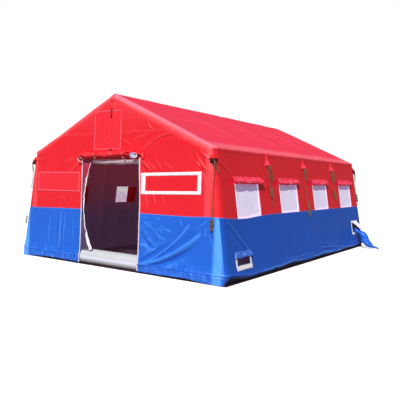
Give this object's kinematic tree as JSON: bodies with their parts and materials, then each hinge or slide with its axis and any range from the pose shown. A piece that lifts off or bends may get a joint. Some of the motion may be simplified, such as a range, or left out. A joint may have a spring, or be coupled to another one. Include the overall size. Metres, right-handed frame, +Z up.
{
  "type": "inflatable relief tent",
  "caption": "Red and blue air-filled relief tent with windows along its sides, an open doorway, rolled flaps, guy ropes and a duct sleeve.",
  "frame": {"origin": "middle of the tent's base, on the ground", "axes": "+Z up, +Y along the tent's length away from the doorway, +X to the right seen from the doorway's outside"},
  "size_m": [6.052, 6.9208, 3.1578],
  "materials": {
    "air_tube": "coated cloth, satin",
    "red_cover": "coated cloth, satin",
    "blue_cover": "coated cloth, satin",
    "lining": "thin cloth, matte",
    "floor_sheet": "coated cloth, matte",
    "window_film": "clear flexible film, slightly milky",
    "white_tape": "woven tape, satin",
    "door_mesh": "fine mesh, matte",
    "rope": "braided cord, matte",
    "valve_plastic": "moulded, matte"
  },
  "bodies": {
    "tent": {"arch_1": "air_tube", "arch_2": "air_tube", "arch_3": "air_tube", "arch_4": "air_tube", "arch_5": "air_tube", "door_roll": "red_cover", "door_side_panel": "door_mesh", "drawstring": "rope", "duct_sleeve": "blue_cover", "eave_tube_left": "air_tube", "eave_tube_right": "air_tube", "front_tape_frame": "white_tape", "front_wall": "red_cover", "ground_sheet": "floor_sheet", "ground_tube_front": "air_tube", "ground_tube_left": "air_tube", "ground_tube_rear": "air_tube", "ground_tube_right": "air_tube", "guy_rope_left_1": "rope", "guy_rope_left_2": "rope", "guy_rope_left_3": "rope", "guy_rope_left_4": "rope", "guy_rope_left_5": "rope", "guy_rope_right_1": "rope", "guy_rope_right_2": "rope", "guy_rope_right_3": "rope", "guy_rope_right_4": "rope", "guy_rope_right_5": "rope", "hatch_frame_front": "white_tape", "hatch_frame_rear": "white_tape", "inflation_valve": "valve_plastic", "inner_door_roll": "door_mesh", "inner_lining": "lining", "left_wall": "red_cover", "rear_wall": "red_cover", "relief_valve": "valve_plastic", "ridge_tube": "air_tube", "right_wall": "red_cover", "roof_cover": "red_cover", "skirt": "blue_cover", "window_pane_left_1": "window_film", "window_pane_left_2": "window_film", "window_pane_left_3": "window_film", "window_pane_left_4": "window_film", "window_pane_right_1": "window_film", "window_pane_right_2": "window_film", "window_pane_right_3": "window_film", "window_pane_right_4": "window_film"},
    "window_flap_right_1": {"window_flap_right_1": "red_cover"},
    "window_flap_right_2": {"window_flap_right_2": "red_cover"},
    "window_flap_right_3": {"window_flap_right_3": "red_cover"},
    "window_flap_right_4": {"window_flap_right_4": "red_cover"},
    "window_flap_left_1": {"window_flap_left_1": "red_cover"},
    "window_flap_left_2": {"window_flap_left_2": "red_cover"},
    "window_flap_left_3": {"window_flap_left_3": "red_cover"},
    "window_flap_left_4": {"window_flap_left_4": "red_cover"},
    "hatch_flap_front": {"hatch_flap_front": "blue_cover"},
    "valve_cap": {"valve_cap": "valve_plastic"}
  },
  "joints": [
    {"name": "window_flap_right_1_hinge", "type": "hinge", "parent": "tent", "child": "window_flap_right_1", "pos_m": [2.27962, -2.445, 1.715], "axis": [0, -1, 0], "range_deg": [0, 120]},
    {"name": "window_flap_right_2_hinge", "type": "hinge", "parent": "tent", "child": "window_flap_right_2", "pos_m": [2.27962, -0.815, 1.715], "axis": [0, -1, 0], "range_deg": [0, 120]},
    {"name": "window_flap_right_3_hinge", "type": "hinge", "parent": "tent", "child": "window_flap_right_3", "pos_m": [2.27962, 0.815, 1.715], "axis": [0, -1, 0], "range_deg": [0, 120]},
    {"name": "window_flap_right_4_hinge", "type": "hinge", "parent": "tent", "child": "window_flap_right_4", "pos_m": [2.27962, 2.445, 1.715], "axis": [0, -1, 0], "range_deg": [0, 120]},
    {"name": "window_flap_left_1_hinge", "type": "hinge", "parent": "tent", "child": "window_flap_left_1", "pos_m": [-2.27962, -2.445, 1.715], "axis": [0, 1, 0], "range_deg": [0, 120]},
    {"name": "window_flap_left_2_hinge", "type": "hinge", "parent": "tent", "child": "window_flap_left_2", "pos_m": [-2.27962, -0.815, 1.715], "axis": [0, 1, 0], "range_deg": [0, 120]},
    {"name": "window_flap_left_3_hinge", "type": "hinge", "parent": "tent", "child": "window_flap_left_3", "pos_m": [-2.27962, 0.815, 1.715], "axis": [0, 1, 0], "range_deg": [0, 120]},
    {"name": "window_flap_left_4_hinge", "type": "hinge", "parent": "tent", "child": "window_flap_left_4", "pos_m": [-2.27962, 2.445, 1.715], "axis": [0, 1, 0], "range_deg": [0, 120]},
    {"name": "hatch_flap_front_hinge", "type": "hinge", "parent": "tent", "child": "hatch_flap_front", "pos_m": [2.4728, -2.825, 0.5], "axis": [0, -1, 0], "range_deg": [0, 110]},
    {"name": "valve_cap_turn", "type": "hinge", "parent": "tent", "child": "valve_cap", "pos_m": [1.6, 3.29304, 0.2833], "axis": [0, 0, 1], "range_deg": [0, 90]}
  ]
}
